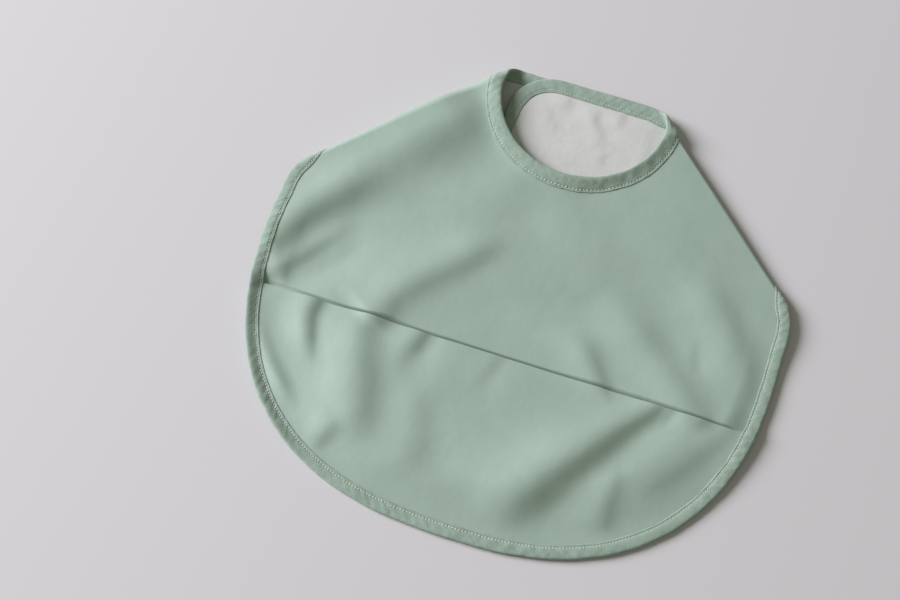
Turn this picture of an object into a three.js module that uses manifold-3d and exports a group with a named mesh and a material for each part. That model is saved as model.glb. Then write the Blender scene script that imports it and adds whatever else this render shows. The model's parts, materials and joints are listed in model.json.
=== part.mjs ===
// A baby's waterproof bib, lying face up on a table with its shoulder wings folded behind it.
// Units are millimetres. +X runs across the bib to the wearer's left, +Y towards the neck, +Z up.
// The group's origin is the centre of the bib's box, on the table.

import * as THREE from "three";
import { LoftGeometry } from "three/addons/geometries/LoftGeometry.js";
import { mergeVertices } from "three/addons/utils/BufferGeometryUtils.js";
import Module from "manifold-3d";

const wasm = await Module();
wasm.setup();

// ---- Driving dimensions. Plan positions are taken from the centre of the neckline,
// level with the points where the neck seam meets the shoulder folds.

// Free outer edge below the shoulders: a superellipse, straight-sided above its widest level.
const HALF_WIDTH = 186;
const WIDEST_Y = -146;
const HEM_DROP = 186;
const ROUNDNESS = 2.47;
// Shoulder corner, where the side edge turns round into the shoulder fold.
const CORNER_SIDE = { x: 187, y: -124 };
const CORNER_TURN = { x: 187.5, y: -109.5 };
const CORNER_FOLD = { x: 182, y: -103.5 };

// Front neckline: half an ellipse, then short upright stretches to the shoulder folds.
const NECK_HALF_WIDTH = 62;
const NECK_DEPTH = 55.5;

// Shoulder fold on the right side, in plan; the left one mirrors it.
const FOLD_INNER = { x: 65, y: 11 };
const FOLD_OUTER = { x: 183.5, y: -105 };

// Wings, as folded.
const WING_TOP_Y = 18;
const WING_TURN_X = 38;
const WING_REACH = 54;
const WING_TOP_RADIUS = 28;
const WING_LOW_Y = -86;
const WING_LOW_RADIUS = 20;

// Pocket mouth: a straight edge across the front.
const MOUTH_Y = -201;

// Sheet, tape and thread.
const SHEET = 0.6;
const NECK_TAPE_WIDTH = 11.5;
const OUTER_TAPE_WIDTH = 9.5;
const TAPE_THICKNESS = 2.2;
const TAPE_TURN = 1;
const THREAD_WIDTH = 0.8;
const THREAD_HEIGHT = 0.3;
const THREAD_INSET = 1.8;
const GAP = 0.3;

// Heights of the sheets' middle planes.
const TABLE_LEVEL = TAPE_THICKNESS / 2;
const LAP_LEVEL = 4.4;
const POCKET_EDGE_LEVEL = TABLE_LEVEL + SHEET + GAP;
const POCKET_LOFT = 4.8;
const POCKET_SHOULDER = 0.2;
const YOKE_RISE = 5.9;
const NECK_RISE = 5;
const CORNER_EASE = 0.1;

// Closure patches between the lapped wings.
const HOOK = { x: 12, y: -74, width: 26, height: 17.5, thickness: 1.1 };
const LOOP = { x: 2, y: -74, width: 50, height: 17.5, thickness: 0.7 };
const PATCH_SEAM_INSET = 1.5;

// Faceting.
const GRID = 16;
const EDGE_STEPS = 40;
const ARC_STEPS = 6;
const FOLD_STEPS = 4;
const OVERRUN = 25;
const FAR = 500;
const PRISM_DEPTH = 60;

// ---- Materials.

const finish = (color, roughness) =>
  new THREE.MeshStandardMaterial({ color, roughness, metalness: 0 });

const MATERIALS = {
  face: finish(0xa2b6ab, 0.55),
  reverse: finish(0xcbcbc7, 0.6),
  tape: finish(0x97aca1, 0.9),
  thread: finish(0xb4c4b8, 0.8),
  hook: finish(0xdedcd6, 0.9),
  loop: finish(0xd6d6d0, 1),
};

// ---- Small helpers.

const lerp = THREE.MathUtils.lerp;
const smooth = (x) => THREE.MathUtils.smoothstep(x, 0, 1);
const point = (p) => new THREE.Vector2(p.x, p.y);
const mirrored = (points) => points.map((p) => new THREE.Vector2(-p.x, p.y)).reverse();

function solidOf(geometry) {
  const bare = new THREE.BufferGeometry().copy(geometry);
  bare.deleteAttribute("normal");
  bare.deleteAttribute("uv");
  const merged = mergeVertices(bare, 1e-4);
  return new wasm.Manifold(
    new wasm.Mesh({
      numProp: 3,
      vertProperties: new Float32Array(merged.getAttribute("position").array),
      triVerts: new Uint32Array(merged.index.array),
    }),
  );
}

function meshOf(name, solid, material) {
  const { numProp, vertProperties, triVerts } = solid.getMesh();
  const positions = new THREE.InterleavedBuffer(vertProperties, numProp);
  const geometry = new THREE.BufferGeometry()
    .setAttribute("position", new THREE.InterleavedBufferAttribute(positions, 3, 0))
    .setIndex(new THREE.BufferAttribute(triVerts, 1));
  const mesh = new THREE.Mesh(geometry.toNonIndexed(), material);
  mesh.name = name;
  mesh.geometry.computeVertexNormals();
  return mesh;
}

// An upright prism over a plan outline.
function prism(outline, low = -PRISM_DEPTH / 2, high = PRISM_DEPTH / 2) {
  const geometry = new THREE.ExtrudeGeometry(new THREE.Shape(outline), {
    depth: high - low,
    bevelEnabled: false,
  });
  return solidOf(geometry.translate(0, 0, low));
}

// Splits the underside's cells along the same diagonal as the top's, so that stacked sheets nest.
function nestUnderside(slab) {
  const { start, count } = slab.groups.at(-1);
  for (let i = start; i < start + count; i += 6) {
    const [a, b, d, , c] = slab.index.array.slice(i, i + 6);
    slab.index.array.set([a, b, c, a, c, d], i);
  }
}

// A sheet over a plan outline, between two height functions of (x, y).
function drape(outline, bottom, top) {
  const box = new THREE.Box2().setFromPoints(outline);
  const columns = [Math.floor(box.min.x / GRID), Math.ceil(box.max.x / GRID)];
  const rows = [Math.floor(box.min.y / GRID), Math.ceil(box.max.y / GRID)];
  const across = columns[1] - columns[0];
  const along = rows[1] - rows[0];
  const slab = new THREE.BoxGeometry(across * GRID, along * GRID, 2, across, along, 1);
  slab.translate(((columns[0] + columns[1]) / 2) * GRID, ((rows[0] + rows[1]) / 2) * GRID, 0);
  const at = slab.getAttribute("position");
  for (let i = 0; i < at.count; i += 1) {
    const surface = at.getZ(i) > 0 ? top : bottom;
    at.setZ(i, surface(at.getX(i), at.getY(i)));
  }
  nestUnderside(slab);
  return solidOf(slab).intersect(prism(outline));
}

// A polyline moved sideways to its left by a distance, corner by corner.
function moved(points, distance) {
  return points.map((p, i) => {
    const before = points[Math.max(i - 1, 0)];
    const after = points[Math.min(i + 1, points.length - 1)];
    const into = p.clone().sub(before).normalize();
    const out = after.clone().sub(p).normalize();
    const along = into.add(out).normalize();
    return new THREE.Vector2(p.x - along.y * distance, p.y + along.x * distance);
  });
}

// The same polyline run on straight past both ends.
function overrun(points) {
  const [first, second] = points;
  const [last, beforeLast] = [points.at(-1), points.at(-2)];
  const start = first.clone().add(first.clone().sub(second).setLength(OVERRUN));
  const end = last.clone().add(last.clone().sub(beforeLast).setLength(OVERRUN));
  return [start, ...points, end];
}

// The strip between two offsets of an edge; material lies to the edge's left.
const strip = (edge, from, to) => [...moved(edge, from), ...moved(edge, to).reverse()];

const arc = (x, y, radius, from, to) =>
  new THREE.Path().absarc(x, y, radius, from, to, from > to).getPoints(ARC_STEPS);

// ---- Edges in plan, each with the cloth on its left.

// From the left shoulder fold down, round the hem and up to the right shoulder fold.
function outerEdge() {
  const corner = new THREE.QuadraticBezierCurve(
    point(CORNER_SIDE),
    point(CORNER_TURN),
    point(CORNER_FOLD),
  ).getPoints(ARC_STEPS / 2);
  const hem = [];
  for (let i = 0; i <= EDGE_STEPS; i += 1) {
    const turn = Math.PI * (1 + i / EDGE_STEPS);
    const across = Math.sign(Math.cos(turn)) * Math.abs(Math.cos(turn)) ** (2 / ROUNDNESS);
    const down = Math.abs(Math.sin(turn)) ** (2 / ROUNDNESS);
    hem.push(new THREE.Vector2(HALF_WIDTH * across, WIDEST_Y - HEM_DROP * down));
  }
  return [...mirrored(corner), ...hem, ...corner];
}

// From the right shoulder fold down round the neck and up to the left shoulder fold.
function neckEdge() {
  const bowl = new THREE.EllipseCurve(0, 0, NECK_HALF_WIDTH, NECK_DEPTH, 0, -Math.PI, true);
  const right = [point(FOLD_INNER), new THREE.Vector2(63.2, 5.5)];
  return [...right, ...bowl.getPoints(EDGE_STEPS / 2), ...mirrored(right)];
}

// Round a folded right wing: from the shoulder corner along its low edge, round its end at the
// far side of the neck, and back along the neck to the inner end of the fold.
function wingEdge() {
  const neckTurn = new THREE.QuadraticBezierCurve(
    new THREE.Vector2(WING_TURN_X, WING_TOP_Y),
    new THREE.Vector2(NECK_HALF_WIDTH - 6, WING_TOP_Y),
    new THREE.Vector2(FOLD_INNER.x + 1, FOLD_INNER.y - 2),
  ).getPoints(ARC_STEPS);
  const left = -WING_REACH;
  const low = arc(
    left + WING_LOW_RADIUS, WING_LOW_Y + WING_LOW_RADIUS, WING_LOW_RADIUS,
    1.55 * Math.PI, Math.PI,
  );
  const high = arc(
    left + WING_TOP_RADIUS, WING_TOP_Y - WING_TOP_RADIUS, WING_TOP_RADIUS,
    Math.PI, Math.PI / 2,
  );
  return [point(FOLD_OUTER), ...low, ...high, ...neckTurn].reverse();
}

// ---- Heights.

// How far out a point is, from 0 at the middle of the bib to 1 on its outer edge.
function outwardness(x, y) {
  const across = (Math.abs(x) / HALF_WIDTH) ** ROUNDNESS;
  const down = (Math.max(WIDEST_Y - y, 0) / HEM_DROP) ** ROUNDNESS;
  return (across + down) ** (1 / ROUNDNESS);
}

// The front lies on the table below, and rides up over the folded wings towards the neck.
function frontLevel(x, y) {
  const ease = 1 - CORNER_EASE * smooth((Math.abs(x) - 90) / 95);
  const yoke = YOKE_RISE * ease * smooth((y + 165) / 70);
  return TABLE_LEVEL + yoke + NECK_RISE * smooth((y + 95) / 106);
}

// The pocket bulges off the front inside its sewn edge.
function pocketLevel(x, y) {
  return POCKET_EDGE_LEVEL + POCKET_LOFT * smooth((1 - outwardness(x, y)) / POCKET_SHOULDER);
}

// The left wing lies flat on the table; the right wing laps over it and comes down outside.
const leftWingLevel = () => TABLE_LEVEL;
const rightWingLevel = (x) => lerp(LAP_LEVEL, TABLE_LEVEL, smooth((x - 70) / 60));

const raised = (level, by) => (x, y) => level(x, y) + by;

// ---- Fold lines. A fold is a roll of cloth from the wing below up to the front above.

const FOLD_LENGTH = point(FOLD_OUTER).distanceTo(point(FOLD_INNER));
const rollRadius = ({ x, y }, wingLevel) => (frontLevel(x, y) - wingLevel(x, y)) / 2;

// The plan line of the roll's centre: set in from the fold's outside by the roll's radius.
function hingeLine(wingLevel) {
  const along = point(FOLD_OUTER).sub(point(FOLD_INNER)).normalize();
  const inward = new THREE.Vector2(along.y, -along.x);
  const setIn = (end) => point(end).addScaledVector(inward, rollRadius(end, wingLevel));
  return new THREE.LineCurve(setIn(FOLD_INNER), setIn(FOLD_OUTER));
}

// The roll's centre and radius at a share of the way from its inner end to its outer end.
function rollAt(share, wingLevel) {
  const line = hingeLine(wingLevel);
  const plan = line.getPoint(share);
  const along = line.getTangent(share);
  const radius = rollRadius(plan, wingLevel);
  const centre = new THREE.Vector3(plan.x, plan.y, wingLevel(plan.x, plan.y) + radius);
  return { centre, outward: new THREE.Vector2(-along.y, along.x), radius };
}

// The plan region of the cloth inside both hinge lines, less the running gap.
function insideFolds(side, clearance) {
  const wingLevel = side > 0 ? rightWingLevel : leftWingLevel;
  const line = hingeLine(wingLevel);
  const along = line.getTangent(0);
  const inward = new THREE.Vector2(along.y, -along.x);
  const edge = (distance) =>
    line.getPoint(0).addScaledVector(along, distance).addScaledVector(inward, clearance);
  const beyond = inward.clone().multiplyScalar(2 * FAR);
  const outline = [edge(-FAR), edge(FAR), edge(FAR).add(beyond), edge(-FAR).add(beyond)];
  return prism(side > 0 ? outline.reverse() : mirrored(outline).reverse());
}

const INSIDE_LEFT = insideFolds(-1, GAP);
const INSIDE_RIGHT = insideFolds(1, GAP);
const INSIDE_BOTH = INSIDE_LEFT.intersect(INSIDE_RIGHT);

// A stretch of the roll, of a given thickness, on one side of the bib.
function foldRoll(side, from, to, thickness) {
  const wingLevel = side > 0 ? rightWingLevel : leftWingLevel;
  const sections = [];
  for (let i = 0; i <= FOLD_STEPS; i += 1) {
    const distance = lerp(from, to, i / FOLD_STEPS);
    const { centre, outward, radius } = rollAt(distance / FOLD_LENGTH, wingLevel);
    const at = (turn, r) =>
      new THREE.Vector3(
        side * (centre.x + outward.x * r * Math.cos(turn)),
        centre.y + outward.y * r * Math.cos(turn),
        centre.z + r * Math.sin(turn),
      );
    const turns = Array.from({ length: ARC_STEPS + 1 }, (_, k) => Math.PI * (k / ARC_STEPS - 0.5));
    const outside = turns.map((turn) => at(turn, radius + thickness / 2));
    const inside = turns.map((turn) => at(turn, radius - thickness / 2)).reverse();
    sections.push(side > 0 ? [...outside, ...inside] : [...outside, ...inside].reverse());
  }
  return solidOf(new LoftGeometry(sections, { capStart: true, capEnd: true }));
}

// ---- Sub-parts.

// Cloth inside a closed outline, set back from the taped edge.
const sheet = (outline, level, region) =>
  drape(outline, raised(level, -SHEET / 2), raised(level, SHEET / 2)).intersect(region);

// Tape folded over an edge: a channel whose slot holds the cloth.
function tape(edge, width, low, high, region) {
  const wall = (TAPE_THICKNESS - SHEET) / 2 - GAP;
  const whole = drape(strip(edge, 0, width), low, high);
  const slot = drape(strip(edge, TAPE_TURN, width + 4), raised(low, wall), raised(high, -wall));
  return whole.subtract(slot).intersect(region);
}

// A row of stitching as one thin raised line along the tape.
function stitchRow(edge, width, top, region) {
  const inner = width - THREAD_INSET;
  const path = strip(edge, inner - THREAD_WIDTH, inner);
  return drape(path, raised(top, GAP), raised(top, GAP + THREAD_HEIGHT)).intersect(region);
}

function rectangle({ x, y, width, height }, inset = 0) {
  const [left, right] = [x + inset, x + width - inset];
  const [low, high] = [y + inset, y + height - inset];
  return [[left, low], [right, low], [right, high], [left, high]].map((p) => new THREE.Vector2(...p));
}

const OUTER_EDGE = outerEdge();
const NECK_EDGE = neckEdge();
const RIGHT_WING_EDGE = wingEdge();
const LEFT_WING_EDGE = mirrored(RIGHT_WING_EDGE);
const CLOTH_SETBACK = TAPE_TURN + GAP;

// The front's tape lies flat on the cloth, and takes in the pocket's edge below the mouth.
const HALF_TAPE = TAPE_THICKNESS / 2;
const frontTapeLow = raised(frontLevel, -HALF_TAPE);
const frontTapeHigh = raised(frontLevel, HALF_TAPE);
const MOUTH_ROW = Math.ceil(MOUTH_Y / GRID) * GRID;
function outerTapeHigh(x, y) {
  const pocketShare = smooth((MOUTH_ROW + GRID - y) / GRID);
  return lerp(frontLevel(x, y), pocketLevel(x, y), pocketShare) + HALF_TAPE;
}

function frontParts() {
  const outerRun = overrun(OUTER_EDGE);
  const neckRun = overrun(NECK_EDGE);
  const hemOutline = moved(outerRun, CLOTH_SETBACK);
  const frontOutline = [...hemOutline, ...moved(neckRun, CLOTH_SETBACK)];
  const belowMouth = prism(rectangle({ x: -FAR, y: MOUTH_Y - FAR, width: 2 * FAR, height: FAR }));
  return [
    meshOf("front_panel", sheet(frontOutline, frontLevel, INSIDE_BOTH), MATERIALS.face),
    meshOf("pocket_panel", sheet(hemOutline, pocketLevel, belowMouth), MATERIALS.face),
    meshOf(
      "outer_binding_front",
      tape(outerRun, OUTER_TAPE_WIDTH, frontTapeLow, outerTapeHigh, INSIDE_BOTH),
      MATERIALS.tape,
    ),
    meshOf(
      "neck_binding_front",
      tape(neckRun, NECK_TAPE_WIDTH, frontTapeLow, frontTapeHigh, INSIDE_BOTH),
      MATERIALS.tape,
    ),
    meshOf(
      "outer_stitching_front",
      stitchRow(outerRun, OUTER_TAPE_WIDTH, outerTapeHigh, INSIDE_BOTH),
      MATERIALS.thread,
    ),
    meshOf(
      "neck_stitching_front",
      stitchRow(neckRun, NECK_TAPE_WIDTH, frontTapeHigh, INSIDE_BOTH),
      MATERIALS.thread,
    ),
  ];
}

// The panel, tape and stitching of a wing inside a region of the plan.
function wingParts(edge, level, region) {
  const run = overrun(edge);
  const low = raised(level, -HALF_TAPE);
  const high = raised(level, HALF_TAPE);
  return {
    panel: sheet(moved(run, CLOTH_SETBACK), level, region),
    binding: tape(run, OUTER_TAPE_WIDTH, low, high, region),
    stitching: stitchRow(run, OUTER_TAPE_WIDTH, high, region),
  };
}

function leftWing() {
  const { panel, binding, stitching } = wingParts(LEFT_WING_EDGE, leftWingLevel, INSIDE_LEFT);
  const bottom = TABLE_LEVEL + SHEET / 2 + GAP;
  const top = bottom + HOOK.thickness;
  const seam = patchSeam(HOOK, top);
  return [
    meshOf("left_wing_panel", panel, MATERIALS.reverse),
    meshOf("left_wing_binding", binding, MATERIALS.tape),
    meshOf("left_wing_stitching", stitching, MATERIALS.thread),
    meshOf("hook_patch", prism(rectangle(HOOK), bottom, top).subtract(seam.groove), MATERIALS.hook),
    meshOf("hook_patch_stitching", seam.thread, MATERIALS.thread),
  ];
}

// Stitching round a patch, sunk in a groove of its own at the given height.
function patchSeam(patch, top, side = 1) {
  const depth = THREAD_HEIGHT + GAP;
  const frame = (inset, width, low, high) =>
    prism(rectangle(patch, inset), low, high).subtract(prism(rectangle(patch, inset + width)));
  const [low, high] = side > 0 ? [top - depth, top + 1] : [top - 1, top + depth];
  const [threadLow, threadHigh] = side > 0 ? [top - THREAD_HEIGHT, top] : [top, top + THREAD_HEIGHT];
  return {
    groove: frame(PATCH_SEAM_INSET - GAP, THREAD_WIDTH + 2 * GAP, low, high),
    thread: frame(PATCH_SEAM_INSET, THREAD_WIDTH, threadLow, threadHigh),
  };
}

function rightWing() {
  const half = { y: -FAR, width: FAR, height: 2 * FAR };
  const base = prism(rectangle({ x: GAP / 2, ...half })).intersect(INSIDE_RIGHT);
  const tip = prism(rectangle({ x: -GAP / 2 - FAR, ...half }));
  const root = wingParts(RIGHT_WING_EDGE, rightWingLevel, base);
  const end = wingParts(RIGHT_WING_EDGE, rightWingLevel, tip);
  const top = LAP_LEVEL - SHEET / 2 - GAP;
  const bottom = top - LOOP.thickness;
  const seam = patchSeam(LOOP, bottom, -1);
  const upper = ([a, b]) => (a.boundingBox().max[1] > b.boundingBox().max[1] ? [a, b] : [b, a]);
  const [neckTape, outerTape] = upper(root.binding.decompose());
  const [neckRow, outerRow] = upper(root.stitching.decompose());
  return [
    meshOf("right_wing_panel", root.panel, MATERIALS.reverse),
    meshOf("right_wing_neck_binding", neckTape, MATERIALS.tape),
    meshOf("right_wing_outer_binding", outerTape, MATERIALS.tape),
    meshOf("right_wing_neck_stitching", neckRow, MATERIALS.thread),
    meshOf("right_wing_outer_stitching", outerRow, MATERIALS.thread),
    meshOf("right_wing_tip_panel", end.panel, MATERIALS.reverse),
    meshOf("right_wing_tip_binding", end.binding, MATERIALS.tape),
    meshOf("right_wing_tip_stitching", end.stitching, MATERIALS.thread),
    meshOf("loop_patch", prism(rectangle(LOOP), bottom, top).subtract(seam.groove), MATERIALS.loop),
    meshOf("loop_patch_stitching", seam.thread, MATERIALS.thread),
  ];
}

// The cloth and tape that roll over a shoulder fold, on the left (-1) or right (1).
function shoulderFold(side) {
  const name = side > 0 ? "right" : "left";
  const neckEnd = 1.4 * NECK_TAPE_WIDTH;
  const outerStart = FOLD_LENGTH - OUTER_TAPE_WIDTH;
  return [
    meshOf(
      name + "_shoulder_fold",
      foldRoll(side, neckEnd + GAP, outerStart - GAP, SHEET),
      MATERIALS.face,
    ),
    meshOf(name + "_neck_binding_fold", foldRoll(side, 0, neckEnd, TAPE_THICKNESS), MATERIALS.tape),
    meshOf(
      name + "_outer_binding_fold",
      foldRoll(side, outerStart, FOLD_LENGTH, TAPE_THICKNESS),
      MATERIALS.tape,
    ),
  ];
}

// ---- The assembly.

function group(meshes) {
  return new THREE.Group().add(...meshes);
}

const bib = group([
  group(frontParts()),
  group([...leftWing(), ...shoulderFold(-1)]),
  group([...rightWing(), ...shoulderFold(1)]),
]);
const bounds = new THREE.Box3().setFromObject(bib);
bib.position.y = -(bounds.min.y + bounds.max.y) / 2;

export default bib;
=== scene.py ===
"""A waterproof bib with a crumb pocket, lying face up with its wings folded behind it.

All of its cloth, tape and thread is laid out on one flat pattern, in millimetres, and carried to its
place by surface(), which lays the front down, rolls it over each shoulder fold and lays the wings behind.
The pattern's y is 0 where the neckline is widest; the frame's own origin is the middle of the bib.
"""

import json
import math

import bpy
import numpy as np
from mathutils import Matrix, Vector
from mathutils.geometry import delaunay_2d_cdt, tessellate_polygon

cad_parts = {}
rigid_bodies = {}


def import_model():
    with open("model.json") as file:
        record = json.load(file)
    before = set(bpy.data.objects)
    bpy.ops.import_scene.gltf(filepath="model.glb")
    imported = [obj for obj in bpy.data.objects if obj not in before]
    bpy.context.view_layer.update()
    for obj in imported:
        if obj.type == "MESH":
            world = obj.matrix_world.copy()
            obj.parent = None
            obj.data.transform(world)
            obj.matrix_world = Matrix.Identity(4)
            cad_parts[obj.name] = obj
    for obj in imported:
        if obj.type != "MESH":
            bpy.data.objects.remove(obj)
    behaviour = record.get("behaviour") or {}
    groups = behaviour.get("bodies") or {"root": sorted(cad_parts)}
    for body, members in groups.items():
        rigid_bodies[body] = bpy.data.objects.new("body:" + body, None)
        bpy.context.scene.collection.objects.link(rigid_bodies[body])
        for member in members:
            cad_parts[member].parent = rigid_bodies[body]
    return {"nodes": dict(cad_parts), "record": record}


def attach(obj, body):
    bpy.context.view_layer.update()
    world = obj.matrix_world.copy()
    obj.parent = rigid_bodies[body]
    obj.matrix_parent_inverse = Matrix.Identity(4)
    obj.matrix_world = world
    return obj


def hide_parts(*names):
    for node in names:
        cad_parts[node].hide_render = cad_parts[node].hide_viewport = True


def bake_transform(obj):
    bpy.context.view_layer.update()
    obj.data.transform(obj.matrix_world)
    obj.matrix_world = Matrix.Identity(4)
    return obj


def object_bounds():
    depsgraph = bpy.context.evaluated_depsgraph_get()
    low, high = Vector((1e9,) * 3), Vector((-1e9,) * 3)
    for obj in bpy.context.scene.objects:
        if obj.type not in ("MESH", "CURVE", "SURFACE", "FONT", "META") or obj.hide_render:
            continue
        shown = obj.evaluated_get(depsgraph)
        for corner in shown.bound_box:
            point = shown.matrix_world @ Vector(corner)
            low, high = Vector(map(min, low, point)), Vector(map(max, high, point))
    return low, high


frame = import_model()
CAD_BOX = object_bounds()

MM = 0.001

# ---------------------------------------------------------------- driving dimensions, mm

HALF_WIDTH, WIDEST_Y, HEM_DROP, ROUNDNESS = 186.0, -146.0, 186.0, 2.47
NECK_CENTRE_X, NECK_HALF_WIDTH, NECK_DEPTH = 3.0, 62.0, 59.5
WING_TOP_Y, WING_REACH, WING_TOP_RADIUS = 15.6, 51.5, 33.0
WING_LOW_Y, WING_LOW_RADIUS = -86.0, 20.0
MOUTH_Y = -204.0
MOUTH_HEM = 13.0
CLOTH = 0.5
NECK_TAPE, OUTER_TAPE = 11.5, 9.5
WIDE_TAPE_FROM = 615.0  # along the edge from the bottom of the hem
STITCH_INSET, STITCH_PITCH, STITCH_LENGTH, STITCH_WIDTH = 2.2, 2.3, 1.65, 0.66
STITCH_PROUD, STITCH_HIGH = 0.08, 0.42 * STITCH_WIDTH
CLOTH_SETBACK, POCKET_SETBACK = 1.3, 1.7  # the raw edges lie this far inside the tape's folded edge
TABLE_LEVEL, LAP_LEVEL = 1.1, 4.4
YOKE_RISE, NECK_RISE, CORNER_EASE = 5.9, 2.5, 0.1
POCKET_EDGE, POCKET_LOFT, POCKET_SHOULDER = 0.6, 5.0, 0.22
MOUTH_LIFT, MOUTH_REACH = 2.2, 26.0
MOUTH_BULGE, BULGE_REACH, GROOVE_WIDTH = 3.2, 46.0, 3.0
LEFT_POCKET = 0.25  # the share of its lift that the pocket has at its left end
FOLD_EASE = 15.0  # the cloth comes level over this width on either side of a fold
LEFT_INNER_X, RIGHT_INNER_X = 61.19, 62.34  # how far out the inner end of each hinge line is
LEFT_INSET, RIGHT_INSET = 5.5, 2.5  # the middle of a roll lies this far inside its hinge line
PIECE_GAP = 3.0  # a fold's own piece reaches this far on either side of its roll
HOOK_THICKNESS, LOOP_THICKNESS = 1.1, 0.7
HEM_TURN_RADIUS = 0.45  # of the pocket's hem, where it turns under at the mouth

# The frame's y of the pattern's y = 0, from the box of the CAD model.
NECK_Y = CAD_BOX[0][1] / MM + HEM_DROP - WIDEST_Y


def smooth(x):
    x = np.clip(x, 0.0, 1.0)
    return x * x * (3 - 2 * x)


def ease(value, start, over):
    """0 up to the start, and smoothly up to 1 over the length after it."""
    return smooth((value - start) / over)


def bell(away, reach):
    return np.exp(-((away / reach) ** 2))


def soft_floor(height, sharpness):
    """The height where it is well above 0, eased into 0 below that."""
    return np.logaddexp(0, height * sharpness) / sharpness


def unit(v):
    return v / np.maximum(np.linalg.norm(v, axis=-1, keepdims=True), 1e-9)


# ---------------------------------------------------------------- shoulder folds


class Fold:
    """The hinge line of one shoulder fold in plan, from its inner end outwards."""

    def __init__(self, side, joint, body, inner_x, inset):
        self.side, self.body = side, body
        self.pivot, axis = np.array(joint["pos_m"]) / MM, np.array(joint["axis"], float)
        self.axis = unit(axis) * np.sign(axis[0]) * side
        self.along = along = unit(self.axis[:2])
        start = self.pivot[:2] + along * (inner_x - abs(self.pivot[0])) / abs(along[0])
        self.inward = np.array([along[1], -along[0]]) * side
        self.start = start - [0.0, NECK_Y] + self.inward * inset

    def split(self, x, y):
        """How far along the fold a point is, and how far inside it."""
        dx, dy = x - self.start[0], y - self.start[1]
        t = dx * self.along[0] + dy * self.along[1]
        return t, dx * self.inward[0] + dy * self.inward[1]

    def plan(self, t, h):
        return (
            self.start[0] + self.along[0] * t + self.inward[0] * h,
            self.start[1] + self.along[1] * t + self.inward[1] * h,
        )

    def roll(self, t):
        """The level of the front, the level of the wing and the roll's radius at a place along the fold."""
        x, y = self.plan(t, FOLD_EASE / 2)
        top, low = front_level(x, y), wing_level(self.side, x, y)
        return top, low, (top - low) / 2

    def unfold(self, x, y):
        """The pattern point of a place on the folded wing."""
        t, h = self.split(x, y)
        return self.plan(t, -h - math.pi * self.roll(t)[2])


def joint_named(name):
    joints = frame["record"]["behaviour"]["joints"]
    return next(j for j in joints if j["name"] == name)


# ---------------------------------------------------------------- levels and wrinkles


def rounded(points, times=3):
    """An open line with its corners cut, over and over, until it is smooth."""
    points = np.array(points, float)
    for _ in range(times):
        early, late = points[:-1] * 0.75 + points[1:] * 0.25, points[:-1] * 0.25 + points[1:] * 0.75
        between = np.stack([early, late], axis=1).reshape(-1, 2)
        points = np.concatenate([points[:1], between[1:-1], points[-1:]])
    return points


def near_line(x, y, points):
    """How far each point lies from a line, plus to its right (+x) side, and how far along it, 0 to 1."""
    ends = np.array([points[0], points[-1]], float)
    chord = ends[1] - ends[0]
    along = np.clip(((x - ends[0, 0]) * chord[0] + (y - ends[0, 1]) * chord[1]) / (chord @ chord), 0, 1)
    points = rounded(points)
    best, side = np.full(x.shape, np.inf), np.zeros(x.shape)
    for (ax, ay), (bx, by) in zip(points[:-1], points[1:]):
        length = math.hypot(bx - ax, by - ay)
        ux, uy = (bx - ax) / length, (by - ay) / length
        s = np.clip((x - ax) * ux + (y - ay) * uy, 0, length)
        away = np.hypot(x - ax - ux * s, y - ay - uy * s)
        nearer = away < best
        best = np.where(nearer, away, best)
        side = np.where(nearer, (x - ax) * -uy + (y - ay) * ux, side)
    down = 1 if chord[1] < 0 else -1
    return best * np.sign(side) * down, along


def crease(x, y, points, widths, slope, reach=(3.0, 3.0), ends=(0.2, 0.3), skew=0.0, stand=0.0):
    """A fall of the cloth from a line's left side to its right, eased back to level beyond it.

    widths are the half-widths of the fall at the line's two ends, slope its steepness, and reach how
    many half-widths the cloth takes to come level again on the left and on the right. A positive skew
    makes the fall shorter on the left and longer on the right. stand lifts the whole crease, from 0 for
    one that is half a dip to 1 for one that is all ridge.
    """
    x, y = np.asarray(x, float), np.asarray(y, float)
    margin = 2.6 * max(reach) * max(widths)
    low, high = np.min(points, axis=0) - margin, np.max(points, axis=0) + margin
    close = (x > low[0]) & (x < high[0]) & (y > low[1]) & (y < high[1])
    height = np.zeros(x.shape)
    away, along = near_line(x[close], y[close], points)
    width = widths[0] + (widths[1] - widths[0]) * along
    fade = smooth(along / ends[0]) * smooth((1 - along) / ends[1])
    level = np.where(away < 0, reach[0], reach[1]) * width
    half = np.where(away < 0, 1 - skew, 1 + skew) * width
    fall = stand * width - half * np.tanh(away / half)
    height[close] = slope * fall * bell(away, level) * fade
    return height


def swell(x, y, at, size, height, turn=0.0):
    """A soft mound or dip: size is its half-lengths, turned by an angle in degrees."""
    c, s = math.cos(math.radians(turn)), math.sin(math.radians(turn))
    dx, dy = x - at[0], y - at[1]
    u, v = (dx * c + dy * s) / size[0], (-dx * s + dy * c) / size[1]
    return height * np.exp(-(u * u + v * v))


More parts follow.
